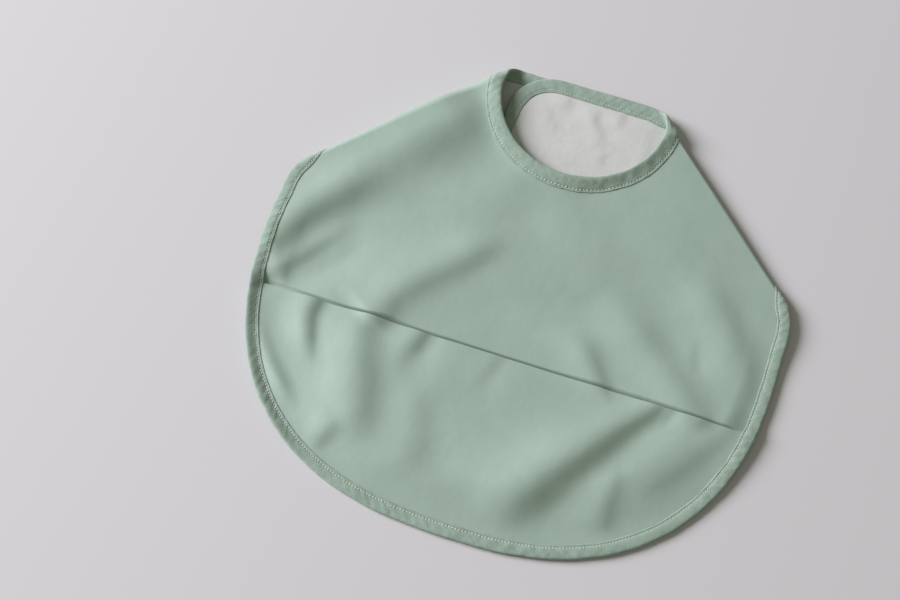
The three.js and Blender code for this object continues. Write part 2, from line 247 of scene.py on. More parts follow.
# One crease to an entry, as crease() takes them: its line from its upper end to its lower one, half-widths
# at the two ends, slope, reach to the left and right, fade at the ends, and then skew and stand, if any.
CHEST_CREASES = [
    ([(-56, -30), (-77, -54), (-93, -74), (-109, -94), (-127, -112), (-145, -130), (-160, -148),
      (-171, -172), (-176, -190)],
     (30, 14), 0.16, (1.2, 1.5), (0.15, 0.08), 0.0, 0.4),
    ([(-108, -92), (-134, -120), (-153, -142), (-166, -162), (-175, -188)],
     (17, 10), 0.2, (1.3, 1.8), (0.4, 0.1), 0.0, 0.3),
    ([(-116, -134), (-138, -161), (-152, -178), (-166, -195), (-178, -210), (-186, -220)],
     (10, 9), 0.36, (1.7, 2.2), (0.4, 0.1), 0.3, 0.0),
    ([(-12, -114), (-26, -130), (-44, -151), (-65, -171), (-77, -187), (-82, -204), (-84, -222)],
     (8, 11), 0.25, (2.4, 2.4), (0.3, 0.1), 0.0, 0.8),
    ([(108, -92), (128, -108), (147, -127), (160, -146), (172, -168), (178, -184)],
     (13, 9), 0.21, (2.4, 2.4), (0.35, 0.45), 0.0, 0.5),
    ([(54, -133), (84, -146), (104, -161), (122, -177), (140, -196), (152, -212)],
     (12, 12), 0.2, (2.0, 2.4), (0.35, 0.1), 0.0, 0.7),
    ([(126, -144), (128, -160), (133, -180)], (4, 4), 0.1, (2.5, 2.5), (0.4, 0.4)),
    ([(34, -162), (52, -172), (65, -185), (76, -201), (84, -216)],
     (9, 5), 0.24, (2.5, 3.0), (0.5, 0.1), 0.0, 0.7),
    ([(0, -72), (34, -92), (80, -104)], (16, 16), 0.05, (2.0, 2.5), (0.3, 0.4)),
    ([(-14, -64), (-24, -90), (-24, -118)], (14, 14), 0.05, (2.5, 2.5), (0.3, 0.3)),
]
POCKET_CREASES = [
    ([(-126, -190), (-129, -207), (-130, -216), (-125, -231), (-117, -252)],
     (6.5, 3.5), 0.38, (3.0, 2.2), (0.15, 0.4), -0.2, 0.2),
    ([(-176, -215), (-160, -238), (-144, -255), (-129, -269), (-114, -282)],
     (7, 6), 0.4, (1.8, 3.0), (0.2, 0.3), 0.0, 0.4),
    ([(-92, -192), (-86, -222), (-77, -250), (-69, -274), (-65, -298)],
     (11, 15), 0.22, (1.8, 1.8), (0.2, 0.3), 0.1, 0.3),
    ([(-103, -192), (-108, -230), (-104, -266), (-98, -302)], (9, 9), -0.03, (1.8, 1.8), (0.15, 0.15)),
    ([(-84, -278), (-91, -294), (-96, -308)], (6, 5), 0.2, (3.0, 2.5), (0.45, 0.2), 0.0, 0.1),
    ([(-48, -190), (-52, -209), (-57, -223), (-64, -244)], (5, 10), 0.3, (2.2, 2.0), (0.2, 0.6)),
    ([(-46, -234), (-34, -260), (-28, -285), (-25, -308)], (9, 11), 0.11, (2.5, 2.5), (0.4, 0.3)),
    ([(4, -194), (1, -210), (-4, -224), (-10, -240)], (5, 7), 0.1, (2.0, 1.6), (0.15, 0.5)),
    ([(124, -192), (113, -210), (100, -225), (87, -243), (73, -263), (57, -284), (42, -303), (32, -324)],
     (6, 18), 0.39, (1.9, 1.6), (0.12, 0.32), 0.1, 0.2),
    ([(172, -200), (160, -215), (144, -237), (126, -258), (112, -274)],
     (7, 6), 0.09, (2.4, 2.6), (0.1, 0.35), 0.0, 0.5),
    ([(104, -250), (101, -272), (104, -302)], (5, 8), 0.15, (2.4, 2.6), (0.3, 0.25), 0.0, 0.5),
    ([(128, -192), (122, -210), (118, -222)], (3, 3), 0.16, (2.2, 2.2), (0.1, 0.5)),
]
WING_CREASES = [
    ([(-8, 4), (-8, -4), (-12, -12)], (4, 4), 0.12, (2.5, 2.5), (0.05, 0.6)),
    ([(10, 2), (16, -12), (30, -28)], (4, 5), 0.14, (2.5, 2.5), (0.3, 0.4)),
    ([(32, 4), (33, -4), (34, -12)], (4, 4), 0.1, (2.5, 2.5), (0.05, 0.6)),
    ([(-24, -10), (-16, -18), (-6, -26)], (4, 4), 0.1, (2.5, 2.5), (0.4, 0.4)),
    ([(29, -30), (27, -38), (28, -46)], (3, 3), 0.12, (2.5, 2.5), (0.4, 0.4)),
]
# The front's soft mounds, as swell() takes them: middle, half-lengths, height and turn.
FRONT_SWELLS = [
    ((-99, -51), (70, 24), 3.4, 44),  # the ridge along the left shoulder
    ((-70, -14), (18, 14), 0.8, 45),
    ((-66, -150), (60, 40), 1.0, 30),
    ((-184, -168), (16, 38), 3.6, -6),  # the left edge, standing up beside the mouth
]
POCKET_SWELL = ((64, -264), (52, 30), 1.8, 57)
# Where the groove above the pocket's mouth gapes: middle, half-length and how much wider it is.
MOUTH_GAPES = [(-150, 24, 1.5), (-76, 12, 2.0), (92, 34, 1.6)]


def creases(x, y, lines):
    return sum(crease(x, y, *line) for line in lines)


NECK_SIZE = 60.5  # between the neckline's half-width and its depth
NECK_CURL, NECK_CURL_REACH = 3.2, 8.5
RIGHT_STAND, LEFT_TURN = 2.4, 2.6  # the right edge stands off the table, and the left one turns up


def neck_distance(x, y):
    """Roughly how far a point on the front is from the neckline."""
    across = (x - NECK_CENTRE_X) / NECK_HALF_WIDTH
    down = np.minimum(y, 0) / NECK_DEPTH
    return (np.hypot(across, down) - 1) * NECK_SIZE


def neck_curl(x, y):
    """The neckline's own edge curls up, less on the right, and least at its left corner."""
    height = NECK_CURL - 0.9 * ease(x, 20, 40) + 0.6 * ease(-x, 20, 40)
    height = height * (1 - 0.6 * ease(y, -20, 20) * ease(-x, 20, 20))
    reach = NECK_CURL_REACH - 4.0 * ease(x, 5, 40)
    return height * bell(np.maximum(neck_distance(x, y), 0), reach)


def mouth_bulge(x, y, out):
    """The chest bulges just above the pocket's mouth, so that the two meet in a narrow groove."""
    groove = GROOVE_WIDTH + sum(more * bell(x - at, reach) for at, reach, more in MOUTH_GAPES)
    above = bell(np.maximum(y - MOUTH_Y, 0), BULGE_REACH)
    return MOUTH_BULGE * (1 - ease(out, 0.87, 0.09)) * above * ease(y, MOUTH_Y, groove)


def front_level(x, y):
    """The front lies on the table below and rides up over the wings, with the wrinkles of the chest."""
    out = outwardness(x, y)
    yoke = YOKE_RISE * (1 - CORNER_EASE * ease(np.abs(x), 90, 95)) * ease(y, -165, 70)
    neck = NECK_RISE * ease(y, -95, 106) * (1 - 0.5 * ease(x, 20, 50))
    right_stand = RIGHT_STAND * ease(x, 96, 80) * ease(y, -280, 70) * (1 - ease(y, -150, 70))
    left_turn = LEFT_TURN * ease(out, 0.964, 0.036) * ease(-x, 98, 28) * (1 - ease(y, -232, 62))
    z = TABLE_LEVEL + yoke + neck + sum(swell(x, y, *mound) for mound in FRONT_SWELLS)
    z = z + neck_curl(x, y) + mouth_bulge(x, y, out) + right_stand + left_turn
    z = z + creases(x, y, CHEST_CREASES) * ease(y, MOUTH_Y - 14, 18)
    return TABLE_LEVEL + soft_floor(z - TABLE_LEVEL, 2.5)


def wing_level(side, x, y):
    """The left wing lies on the table; the right one laps over it, with wrinkles inside the neckline."""
    if side < 0:
        return np.full(np.shape(x), TABLE_LEVEL)
    z = TABLE_LEVEL + (LAP_LEVEL - TABLE_LEVEL) * (1 - ease(x, 70, 60))
    in_neckline = ease(y, -60, 20) * (1 - ease(x, 52, 10))
    return z + (creases(x, y, WING_CREASES) + 0.5) * in_neckline


def outwardness(x, y):
    """0 in the middle of the bib and 1 on its hem's curve."""
    across = (np.abs(x) / HALF_WIDTH) ** ROUNDNESS
    down = (np.maximum(WIDEST_Y - y, 0) / HEM_DROP) ** ROUNDNESS
    return (across + down) ** (1 / ROUNDNESS)


def pocket_lift(x, y):
    """How far the pocket's cloth stands off the front's."""
    shoulder = POCKET_SHOULDER - 0.08 * ease(-x, 75, 50)
    inward = 1 - outwardness(x, y)
    inside = ease(inward, 0.02, shoulder)
    mouth = ease(y, MOUTH_Y - MOUTH_REACH, MOUTH_REACH)
    lift = POCKET_LOFT * (1 - mouth) + MOUTH_LIFT * mouth + swell(x, y, *POCKET_SWELL)
    lift = lift * (LEFT_POCKET + (1 - LEFT_POCKET) * ease(x, -158, 84))
    folds = creases(x, y, POCKET_CREASES) * smooth(inward / 0.1)
    return POCKET_EDGE + soft_floor(0.7 * mouth + inside * lift + folds, 1.5)


LEFT = Fold(-1, joint_named("left_wing_fold"), "left_wing", LEFT_INNER_X, LEFT_INSET)
RIGHT = Fold(1, joint_named("right_wing_fold"), "right_wing", RIGHT_INNER_X, RIGHT_INSET)


def settle(h):
    """Brings cloth level as it nears a fold: where to read its level, h inside the fold."""
    return np.where(h < FOLD_EASE, (h * h + FOLD_EASE**2) / (2 * FOLD_EASE), h)


def surface(x, y):
    """The folded place of each pattern point, in pattern millimetres."""
    x, y = np.asarray(x, float), np.asarray(y, float)
    out = np.empty(x.shape + (3,))
    for fold, mine in ((LEFT, x < 0), (RIGHT, x >= 0)):
        px, py = x[mine], y[mine]
        t, h = fold.split(px, py)
        top, low, radius = fold.roll(t)
        turn = math.pi / 2 + np.clip(h, -math.pi * radius, 0) / radius
        bulge = radius * np.cos(turn)
        in_front, behind = h > 0, h < -math.pi * radius
        inside = np.where(in_front, h, np.where(behind, -h - math.pi * radius, 0)) - bulge
        z = (top + low) / 2 + radius * np.sin(turn)
        level_x, level_y = fold.plan(t, settle(np.abs(inside)))
        z = np.where(in_front, front_level(level_x, level_y), z)
        z = np.where(behind, wing_level(fold.side, level_x, level_y), z)
        plan_x, plan_y = fold.plan(t, inside)
        out[mine] = np.stack([plan_x, plan_y, z], axis=-1)
    return out


def facing(x, y, place=surface):
    """The unit normal of the face side at each pattern point."""
    d = 0.15
    across = place(x + d, y) - place(x - d, y)
    up = place(x, y + d) - place(x, y - d)
    return unit(np.cross(across, up))


def pocket_surface(x, y):
    """The pocket's cloth; above its mouth the pattern turns under, as a hem."""
    over = np.asarray(y, float) - MOUTH_Y
    angle = np.clip(over / HEM_TURN_RADIUS, 0, math.pi)
    under = np.maximum(over - math.pi * HEM_TURN_RADIUS, 0)
    plan_y = np.minimum(y, MOUTH_Y) + HEM_TURN_RADIUS * np.sin(angle) - under
    below = np.minimum(plan_y, MOUTH_Y)
    z = front_level(x, below) + pocket_lift(x, below) - HEM_TURN_RADIUS * (1 - np.cos(angle))
    return np.stack([np.asarray(x, float), plan_y, z], axis=-1)


# ---------------------------------------------------------------- the pattern's edge


def arc(cx, cy, radius, start, end, steps=12):
    turns = np.radians(np.linspace(start, end, steps))
    return [(cx + radius * math.cos(a), cy + radius * math.sin(a)) for a in turns]


def run_along(points):
    """How far along a line each of its points is."""
    return np.concatenate([[0], np.cumsum(np.linalg.norm(np.diff(points, axis=0), axis=1))])


def resampled(points, pitch):
    """A closed or open line again, with even spacing near the pitch."""
    points = np.array(points, float)
    along = run_along(points)
    at = np.linspace(0, along[-1], max(2, int(round(along[-1] / pitch)) + 1))
    return np.stack([np.interp(at, along, points[:, k]) for k in range(2)], axis=1)


def softened(points, reach, pitch):
    """A closed line with its corners rounded off over a reach."""
    steps = int(4 * reach / pitch)
    weights = np.exp(-0.5 * (np.arange(-steps, steps + 1) * pitch / reach) ** 2)
    weights /= weights.sum()
    padded = np.concatenate([points[-steps:], points, points[:steps]])
    return np.stack([np.convolve(padded[:, k], weights, "valid") for k in range(2)], axis=1)


# Where the neckline crosses each fold, left and right: how far along the fold, and at what share of the
# way round its roll. Then how much each shoulder corner of the hem is drawn in.
NECK_OVER = {
    -1: [(-20.0, 0.96), (-12.0, 0.6), (-3.5, 0.25), (0.3, 0.0)],
    1: [(-12.0, 1.0), (-3.5, 0.5), (1.0, 0.0)],
}
CORNER_TRIM = {-1: 1.4, 1: 0.0}
HEM_CORNER = [(186.6, -132), (186.2, -122), (184.4, -114), (181.0, -107.5)]
WING_LOW_EDGE = [(168, -101), (148, -97)]  # on the folded wing, from the shoulder corner inwards


def half_pattern(fold):
    """One side's edge in the pattern, from the bottom of the hem round to the bottom of the neck."""
    side = fold.side
    turns = np.linspace(0, math.pi / 2, 60)
    power = 2 / ROUNDNESS
    hem = [(HALF_WIDTH * math.sin(a) ** power, WIDEST_Y - HEM_DROP * math.cos(a) ** power) for a in turns]
    hem += [(x - CORNER_TRIM[side], y) for x, y in HEM_CORNER]
    wing = WING_LOW_EDGE + [(-WING_REACH + WING_LOW_RADIUS, WING_LOW_Y)]
    wing += arc(-WING_REACH + WING_LOW_RADIUS, WING_LOW_Y + WING_LOW_RADIUS, WING_LOW_RADIUS, 264, 180)
    wing += arc(-WING_REACH + WING_TOP_RADIUS, WING_TOP_Y - WING_TOP_RADIUS, WING_TOP_RADIUS, 180, 90)
    wing += [(x, WING_TOP_Y) for x in range(-15, 40, 10)]
    spread = []
    for x, y in wing:
        px, py = fold.unfold(np.array([side * x]), np.array([y]))
        spread.append((side * px[0], py[0]))
    roll = math.pi * fold.roll(np.array([0.0]))[2][0]
    over = [fold.plan(t, -roll * share) for t, share in NECK_OVER[side]]
    over = [(side * x, y) for x, y in over]
    neck = [
        (side * NECK_CENTRE_X + NECK_HALF_WIDTH * math.cos(a), -NECK_DEPTH * math.sin(a))
        for a in np.linspace(0.03, math.pi / 2, 40)
    ]
    return [(side * x, y) for x, y in hem + spread + over + neck]


EDGE_PITCH = 1.2


def pattern_edge():
    right, left = half_pattern(RIGHT), half_pattern(LEFT)
    loop = resampled(right + left[::-1], EDGE_PITCH)[:-1]
    return softened(loop, 3.0, EDGE_PITCH)


EDGE = pattern_edge()
# The edge runs from the hem up the right side, with the cloth to its left.
EDGE_ALONG = unit(np.roll(EDGE, -1, axis=0) - np.roll(EDGE, 1, axis=0))
EDGE_INWARD = np.stack([-EDGE_ALONG[:, 1], EDGE_ALONG[:, 0]], axis=1)
EDGE_RUN = run_along(EDGE)
EDGE_TOTAL = EDGE_RUN[-1] + float(np.linalg.norm(EDGE[0] - EDGE[-1]))


def run_of(keep):
    """How far round the edge the given stations are, counting on past the loop's end."""
    return EDGE_RUN[keep] + EDGE_TOTAL * np.cumsum(np.diff(keep, prepend=keep[0]) < 0)


# ---------------------------------------------------------------- meshes


TABLE_CLEAR = 0.02


def to_frame(points):
    """Pattern millimetres to the frame's metres, with nothing pressed below the table."""
    moved = np.asarray(points, float) + [0.0, NECK_Y, 0.0]
    moved[:, 2] = np.maximum(moved[:, 2], TABLE_CLEAR)
    return moved * MM


def placed(name, data):
    """A new object in the scene."""
    made = bpy.data.objects.new(name, data)
    bpy.context.scene.collection.objects.link(made)
    return made


def tube_faces(rings):
    """The quads between rings of point numbers, one ring to a row."""
    after = np.roll(rings, -1, axis=-1)
    corners = [rings[..., :-1, :], after[..., :-1, :], after[..., 1:, :], rings[..., 1:, :]]
    return np.stack(corners, axis=-1).reshape(-1, 4).tolist()


def add_mesh(name, points, faces, materials, uvs, face_materials=None, normals=None):
    """A shaded mesh; uvs are per point, in metres of cloth, and normals per point, where they are known."""
    mesh = bpy.data.meshes.new(name)
    mesh.from_pydata(to_frame(points), [], faces)
    for material in materials:
        mesh.materials.append(material)
    if face_materials is not None:
        mesh.polygons.foreach_set("material_index", face_materials)
    layer = mesh.uv_layers.new(name="cloth")
    corners = np.empty(len(mesh.loops), int)
    mesh.loops.foreach_get("vertex_index", corners)
    layer.data.foreach_set("uv", (np.asarray(uvs)[corners] * MM).ravel())
    mesh.polygons.foreach_set("use_smooth", [True] * len(mesh.polygons))
    if normals is not None:
        mesh.normals_split_custom_set(np.asarray(normals)[corners])
    return placed(name, mesh)


def cloth_piece(name, flat_points, triangles, place, materials):
    """Two faces of cloth and the raw edge between them, over the triangles of a flat pattern."""
    used = np.unique(triangles)
    index = np.full(len(flat_points), -1)
    index[used] = np.arange(len(used))
    tri = index[triangles]
    flat = flat_points[used]
    middle, n = place(flat[:, 0], flat[:, 1]), facing(flat[:, 0], flat[:, 1], place)
    count = len(used)
    directed = {(a, b) for t in tri.tolist() for a, b in zip(t, t[1:] + t[:1])}
    rim = sorted((a, b) for a, b in directed if (b, a) not in directed)
    points = np.concatenate([middle + n * CLOTH / 2, middle - n * CLOTH / 2])
    normals = np.concatenate([n, -n])
    faces = tri.tolist() + (tri[:, ::-1] + count).tolist() + [(b, a, a + count, b + count) for a, b in rim]
    kinds = [0] * len(tri) + [1] * len(tri) + [1] * len(rim)
    return add_mesh(name, points, faces, materials, np.concatenate([flat, flat]), kinds, normals)


def flat_area(flat_points, triangles):
    a, b, c = (flat_points[triangles[:, k]] for k in range(3))
    u, v = b - a, c - a
    return float(np.abs(u[:, 0] * v[:, 1] - u[:, 1] * v[:, 0]).sum() / 2)


def inside_polygon(points, polygon):
    x, y = points[:, 0], points[:, 1]
    inside = np.zeros(len(points), bool)
    for (ax, ay), (bx, by) in zip(polygon, np.roll(polygon, -1, axis=0)):
        crosses = (ay > y) != (by > y)
        if crosses.any():
            at = ax + (y - ay) * (bx - ax) / (by - ay if by != ay else 1)
            inside ^= crosses & (x < at)
    return inside


def far_from(points, line, reach):
    """Which points are further than a reach from every point of a dense line."""
    keep = np.ones(len(points), bool)
    for chunk in np.array_split(np.arange(len(line)), max(1, len(line) // 100)):
        d = points[:, None, :] - line[None, chunk, :]
        keep &= (d * d).sum(-1).min(1) > reach * reach
    return keep


def triangulated(outline, pitch, rows, clear):
    """Fills an outline with triangles: rows of points laid across it, and an even net clear of them."""
    low, high = outline.min(0), outline.max(0)
    lines = np.arange(low[1], high[1], pitch * 0.87)
    columns = np.arange(low[0], high[0], pitch)
    net = np.array([(x + (k % 2) * pitch / 2, y) for k, y in enumerate(lines) for x in columns])
    net = net[inside_polygon(net, outline)]
    net = net[far_from(net, outline, pitch * 0.55)]
    net = net[clear(net)]
    points = [outline]
    count = len(outline)
    edges = []
    for row in rows:
        inside = inside_polygon(row, outline) & far_from(row, outline, 0.5)
        places = np.cumsum(inside) - 1 + count
        edges += [(places[k], places[k + 1]) for k in range(len(row) - 1) if inside[k] and inside[k + 1]]
        points.append(row[inside])
        count += int(inside.sum())
    points = np.concatenate(points + [net])
    border = list(range(len(outline)))
    found = delaunay_2d_cdt([Vector(p) for p in points], edges, [border], 1, 1e-4)
    return np.array([tuple(p) for p in found[0]]), np.array([f for f in found[2] if len(f) == 3])


# ---------------------------------------------------------------- tape and thread


BEAT = 17


def ripples(lengths, slants, sizes, seed):
    """A smooth random waviness of (along, across): slanted waves that close up round the whole edge.

    Each wave grows and fades over BEAT of its lengths.
    """
    phases = np.random.default_rng(seed).uniform(0, 2 * math.pi, (len(lengths), 2))
    whole = [EDGE_TOTAL / round(EDGE_TOTAL / length) for length in lengths]
    beats = [EDGE_TOTAL / round(EDGE_TOTAL / (length * BEAT)) for length in lengths]
    waves = list(zip(whole, beats, slants, sizes, phases))

    def height(along, across):
        total = 0.0
        for length, beat, slant, size, (turn, beat_turn) in waves:
            envelope = 0.55 + 0.45 * np.sin(2 * math.pi * along / beat + beat_turn)
            total = total + size * envelope * np.sin(2 * math.pi * (along + slant * across) / length + turn)
        return total

    return height


face_ripples = ripples([7.3, 11.9, 4.9, 3.1], [0.9, -0.6, 1.2, 0.8], [0.11, 0.1, 0.06, 0.04], 11)
back_ripples = ripples([6.7, 12.7, 4.3, 3.3], [0.8, -0.7, 1.1, 0.9], [0.08, 0.08, 0.05, 0.03], 12)
edge_wander = ripples([23.0, 41.0, 9.5], [0.0, 0.0, 0.0], [0.22, 0.25, 0.1], 13)
seam_wander = ripples([17.0, 37.0, 6.5], [0.0, 0.0, 0.0], [0.12, 0.14, 0.07], 14)
GATHERS_AT, GATHERS_REACH, GATHERS_PITCH, GATHERS_SLANT, GATHERS_HEIGHT = 146.0, 36.0, 9.4, 1.9, 0.42


def face_puckers(along, across):
    """The face's puckers; at the lower right the tape is gathered in strong slanting folds."""
    near = bell(along - GATHERS_AT, GATHERS_REACH)
    folds = np.sin(2 * math.pi * (along - GATHERS_SLANT * across) / GATHERS_PITCH)
    return face_ripples(along, across) + GATHERS_HEIGHT * near * folds


# The tape's face: half its thickness, the swell between edge and seam, and the sunk line of the stitches.
TAPE_HALF, PILLOW, STITCH_DIP, STITCH_DIP_REACH, LIP_DROP, EDGE_ROUND = 0.98, 0.34, 0.34, 0.55, 0.18, 1.3


def tape_top(across, width):
    """Height of the tape's outer face over the cloth's middle plane, across from its folded edge."""
    stitch = width - STITCH_INSET
    pillow = PILLOW * np.sin(math.pi * np.clip(across / stitch, 0, 1)) ** 0.8
    dip = -STITCH_DIP * bell(across - stitch, STITCH_DIP_REACH)
    lip = -LIP_DROP * smooth(across - stitch + 0.3)
    edge = np.sqrt(np.clip(1 - (1 - np.clip(across / EDGE_ROUND, 0, 1)) ** 2, 0, 1))
    return (TAPE_HALF + pillow + dip + lip) * edge


def tape_width(run):
    """The neck's tape, on the front and along the wings' tops, is wider than the outer one."""
    from_hem = np.minimum(run, EDGE_TOTAL - run)
    return OUTER_TAPE + (NECK_TAPE - OUTER_TAPE) * ease(from_hem, WIDE_TAPE_FROM, 40)


def pocket_under_tape(x, y):
    """How much the pocket's cloth lifts the tape that it is sewn into."""
    return pocket_lift(x, y) * smooth((MOUTH_Y + 12 - y) / 12)


def taped_place(keep, across, height, lifted):
    """Places on the tape at some edge stations, and the cloth's normals under them.

    across is how far in from the edge, height how far off the cloth, and lifted whether the pocket raises
    it. All have a row for each station.
    """
    flat = EDGE[keep][:, None, :] + EDGE_INWARD[keep][:, None, :] * across[:, :, None]
    x, y = flat[..., 0].ravel(), flat[..., 1].ravel()
    raised = height.ravel() + pocket_under_tape(x, y) * (lifted * EDGE_FRONT[keep][:, None]).ravel()
    n = facing(x, y)
    shape = (*across.shape, 3)
    return (surface(x, y) + n * raised[:, None]).reshape(shape), n.reshape(shape)


# The columns of points across the tape: from its folded edge, and then back from its seam.
FROM_FOLD = np.array([0.0, 0.12, 0.4, 0.9, 1.6, 2.6, 3.7])
FROM_SEAM = np.array([5.0, 4.0, 3.2, 2.8, 2.5, 2.2, 1.9, 1.5, 1.0, 0.5, 0.2, 0.06])
TURNED_UNDER = np.array([0.02, 2.5, 5.0])  # the hidden raw edge, back from the seam
TUCKED_UV = 20.0  # the hidden edges lie this far aside in the tape's own cloth coordinates
PUCKER_START = 2.0  # the puckers grow over this width from the folded edge
SEAM_PUCKER = 0.35  # the share of them that is left at the seam
LIP_TURN = 0.45  # the face turns in to the cloth over this width at the seam


def tape_section(width, along):
    """The tape's closed outline at each station, from its back seam round the edge to its front one.

    Four tables, a row for each station: how far across, how high, whether the pocket lifts it, and how
    far round the tape's own cloth."""
    rows = len(width)
    out = np.concatenate([np.broadcast_to(FROM_FOLD, (rows, len(FROM_FOLD))), width - FROM_SEAM], axis=1)
    seam_fade = SEAM_PUCKER + (1 - SEAM_PUCKER) * smooth((width - 0.6 - out) / 1.8)
    fade = np.clip(out / PUCKER_START, 0, 1) * seam_fade
    shift = edge_wander(along, 0) * 0.5 * (1 - out / width) + seam_wander(along, 0) * (out / width)
    thinned = tape_top(out, width) * (1 - 0.5 * smooth((out - (width - LIP_TURN)) / LIP_TURN))
    face = thinned + face_puckers(along, out) * fade
    back = -thinned + back_ripples(along, out) * fade
    hidden = np.broadcast_to(width - TURNED_UNDER, (rows, len(TURNED_UNDER)))
    under = np.full(hidden.shape, CLOTH / 2 + 0.03)
    across = [out[:, ::-1] + shift[:, ::-1], (out + shift)[:, 1:], hidden, hidden[:, ::-1]]
    height = [back[:, ::-1], face[:, 1:], under, -under]
    lifted = [np.zeros(out.shape), np.ones(face[:, 1:].shape), np.ones(under.shape), np.zeros(under.shape)]
    girth = [-out[:, ::-1], out[:, 1:], hidden + TUCKED_UV, TUCKED_UV - hidden[:, ::-1]]
    return [np.concatenate(part, axis=1) for part in (across, height, lifted, girth)]


def tape_cap(section, ring, ahead):
    """Triangles, as indices into a ring of points, that close the tape's end and face the way ahead."""
    caps = []
    for corners in tessellate_polygon([[Vector((a, h, 0)) for a, h in section]]):
        a, b, c = (ring[k] for k in corners)
        caps.append(corners[::-1] if np.dot(np.cross(b - a, c - a), ahead) < 0 else corners)
    return caps


def tape_piece(name, keep, material):
    """A strip of bias tape folded over the cloth's edge, with both its raw edges turned under."""
    beyond = np.concatenate([keep[:1] - 1, keep, keep[-1:] + 1]) % len(EDGE)
    along = run_of(beyond)[:, None]
    across, height, lifted, girth = tape_section(EDGE_WIDTH[beyond][:, None], along)
    points = taped_place(beyond, across, height, lifted)[0]
    columns = np.roll(points, -1, axis=1) - np.roll(points, 1, axis=1)
    normals = unit(np.cross(columns[1:-1], points[2:] - points[:-2]))
    points, girth, across, height = points[1:-1], girth[1:-1], across[1:-1], height[1:-1]
    rings, size = points.shape[:2]
    faces = tube_faces(np.arange(rings * size).reshape(rings, size))
    flat_points, flat_normals = points.reshape(-1, 3), normals.reshape(-1, 3)
    uvs = np.stack([np.broadcast_to(along[1:-1], girth.shape), girth], axis=-1).reshape(-1, 2)
    ring_uvs = uvs.reshape(rings, size, 2)
    for end, ahead in ((0, points[0] - points[1]), (-1, points[-1] - points[-2])):
        ahead = unit(ahead.mean(0))
        base = len(flat_points)
        for corners in tape_cap(zip(across[end], height[end]), points[end], ahead):
            faces.append(tuple(base + k for k in corners))
        flat_points = np.concatenate([flat_points, points[end]])
        flat_normals = np.concatenate([flat_normals, np.tile(ahead, (size, 1))])
        uvs = np.concatenate([uvs, ring_uvs[end]])
    return add_mesh(name, flat_points, faces, [material], uvs, None, flat_normals)


ROW_END = 1.0  # a row of stitches stops this far short of its stretch of tape
# A stitch's section, across and up, in shares of its half-width and its height. Then its rings: how far
# along it each is, as a share of its length, its share of the width, and how far it rises, in mm.
THREAD_SECTION = [(-1, 0), (-0.6, 0.8), (0.6, 0.8), (1, 0), (0, -0.6)]
THREAD_RINGS = [(-0.5, 0.55, -0.16), (-0.33, 1, 0.04), (0, 1, 0.12), (0.33, 1, 0.04), (0.5, 0.55, -0.16)]


def stitches(name, middles, alongs, ups, material):
    """Short raised threads, each dipping into the cloth at its two ends."""
    size = (len(middles), len(THREAD_RINGS), len(THREAD_SECTION))
    middles, alongs, ups = (v[:, None, None, :] for v in (middles, alongs, ups))
    place, share, rise = (np.array(column)[:, None, None] for column in zip(*THREAD_RINGS))
    wide, high = (np.array(column)[:, None] for column in zip(*THREAD_SECTION))
    points = middles + alongs * STITCH_LENGTH * place + ups * rise
    points = points + np.cross(ups, alongs) * STITCH_WIDTH / 2 * share * wide + ups * STITCH_HIGH * high
    rings = np.arange(math.prod(size)).reshape(size)
    faces = tube_faces(rings) + rings[:, 0, ::-1].tolist() + rings[:, -1].tolist()
    uvs = np.zeros((*size, 2))
    uvs[..., 0] = STITCH_LENGTH * place[..., 0]
    uvs[..., 1] = 0.3 * np.arange(size[2])
    return add_mesh(name, points.reshape(-1, 3), faces, [material], uvs.reshape(-1, 2))


def stitch_row(name, keep, material):
    """A row along the tape, on its face and its back, the back's half a stitch behind."""
    run = run_of(keep)
    middles, alongs, ups = [], [], []
    for side in (1, -1):
        shift = 0.0 if side > 0 else STITCH_PITCH / 2
        at = np.arange(run[0] + shift + ROW_END, run[-1] - ROW_END, STITCH_PITCH)
        index = np.interp(at, run, np.arange(len(keep)))
        low = np.minimum(index.astype(int), len(keep) - 2)
        part = (index - low)[:, None]
        width = EDGE_WIDTH[keep[low]]
        seam = width - STITCH_INSET
        across = seam + seam_wander(at, 0) * (1 - STITCH_INSET / width)
        height = side * (tape_top(seam, width) + STITCH_PROUD)
        if side > 0:
            height = height + face_puckers(at, seam)
        else:
            height = np.maximum(height + back_ripples(at, seam), -TABLE_LEVEL)
        lifted = np.full((len(at), 1), float(side > 0))
        places, normals = [], []
        for stations in (keep[low], keep[low + 1]):
            place, n = taped_place(stations, across[:, None], height[:, None], lifted)
            places.append(place[:, 0])
            normals.append(n[:, 0])
        middles.append(places[0] * (1 - part) + places[1] * part)
        alongs.append(unit(places[1] - places[0]))
        ups.append(unit(normals[0] * (1 - part) + normals[1] * part) * side)
    return stitches(name, np.concatenate(middles), np.concatenate(alongs), np.concatenate(ups), material)


# ---------------------------------------------------------------- materials


def linear(red, green, blue):
    """A linear colour from the usual 0 to 255 screen values."""
    shares = (c / 255 for c in (red, green, blue))
    return tuple(c / 12.92 if c <= 10 / 255 else ((c + 0.055) / 1.055) ** 2.4 for c in shares)


